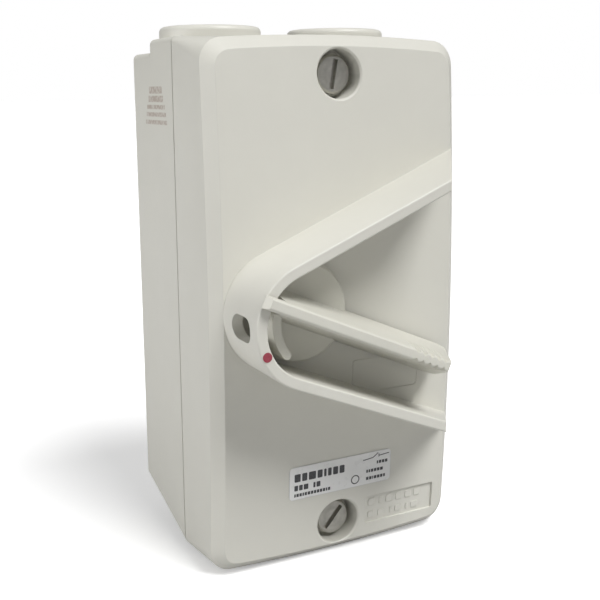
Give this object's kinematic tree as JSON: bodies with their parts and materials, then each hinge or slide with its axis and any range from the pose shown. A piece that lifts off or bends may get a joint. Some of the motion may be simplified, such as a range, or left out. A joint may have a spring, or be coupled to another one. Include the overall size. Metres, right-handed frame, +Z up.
{
  "type": "rotary isolator switch",
  "caption": "Wall-mounted weatherproof rotary isolator switch: bowed cover with a V-shaped padlockable guard, tapered lever handle, conduit plugs and a contact set inside.",
  "frame": {"origin": "middle of the wall face, level with the midpoint of the two cover screws", "axes": "+X to the right as the switch is read, +Y into the wall, +Z up"},
  "size_m": [0.082, 0.0845, 0.1592],
  "materials": {
    "enclosure_plastic": "fine moulded texture, light warm grey",
    "handle_plastic": "smooth moulded, light warm grey",
    "plug_plastic": "smooth moulded, light warm grey",
    "seal_rubber": "matt black",
    "screw_metal": "turned face, dull nickel",
    "brass": "machined",
    "label_film": "printed film",
    "red_print": "printed ink",
    "spring_steel": "zinc plated",
    "black_moulding": "moulded",
    "switch_moulding": "moulded, dark grey",
    "plated_steel": "zinc plated",
    "copper": "rolled copper",
    "silver": "silver alloy"
  },
  "bodies": {
    "enclosure": {"base_box": "enclosure_plastic", "cover": "enclosure_plastic", "conduit_plug_left": "plug_plastic", "conduit_plug_right": "plug_plastic", "cover_gasket": "seal_rubber", "cover_screw_seals": "seal_rubber", "conduit_plug_seals": "seal_rubber", "shaft_seal": "seal_rubber", "cover_screws": "screw_metal", "screw_inserts": "brass", "rating_label": "label_film", "red_dot": "red_print", "switch_housing": "switch_moulding", "switch_cap": "switch_moulding", "switch_fixing_screws": "plated_steel", "terminal_screws": "plated_steel", "earth_screws": "plated_steel", "line_terminal": "brass", "load_terminal": "brass", "earth_bar": "brass", "line_contact": "copper", "load_contact": "copper", "fixed_contact_tips": "silver"},
    "handle_set": {"handle": "handle_plastic", "retaining_ring": "spring_steel", "drive_spindle": "spring_steel", "rotor_cam": "black_moulding"},
    "contact_set": {"contact_carriage": "black_moulding", "bridge_contact": "copper", "bridge_tips": "silver", "contact_spring": "spring_steel"}
  },
  "joints": [
    {"name": "handle_turn", "type": "hinge", "parent": "enclosure", "child": "handle_set", "pos_m": [-0.0162, -0.0845, 0.0018], "axis": [0, -1, 0], "range_deg": [0, 47]},
    {"name": "contact_slide", "type": "slide", "parent": "enclosure", "child": "contact_set", "axis": [0, 0, 1], "range_m": [0, 0.0049]}
  ],
  "couplings": [
    {"joint": "contact_slide", "follows": "handle_turn", "m_per_rad": 0.005833}
  ]
}
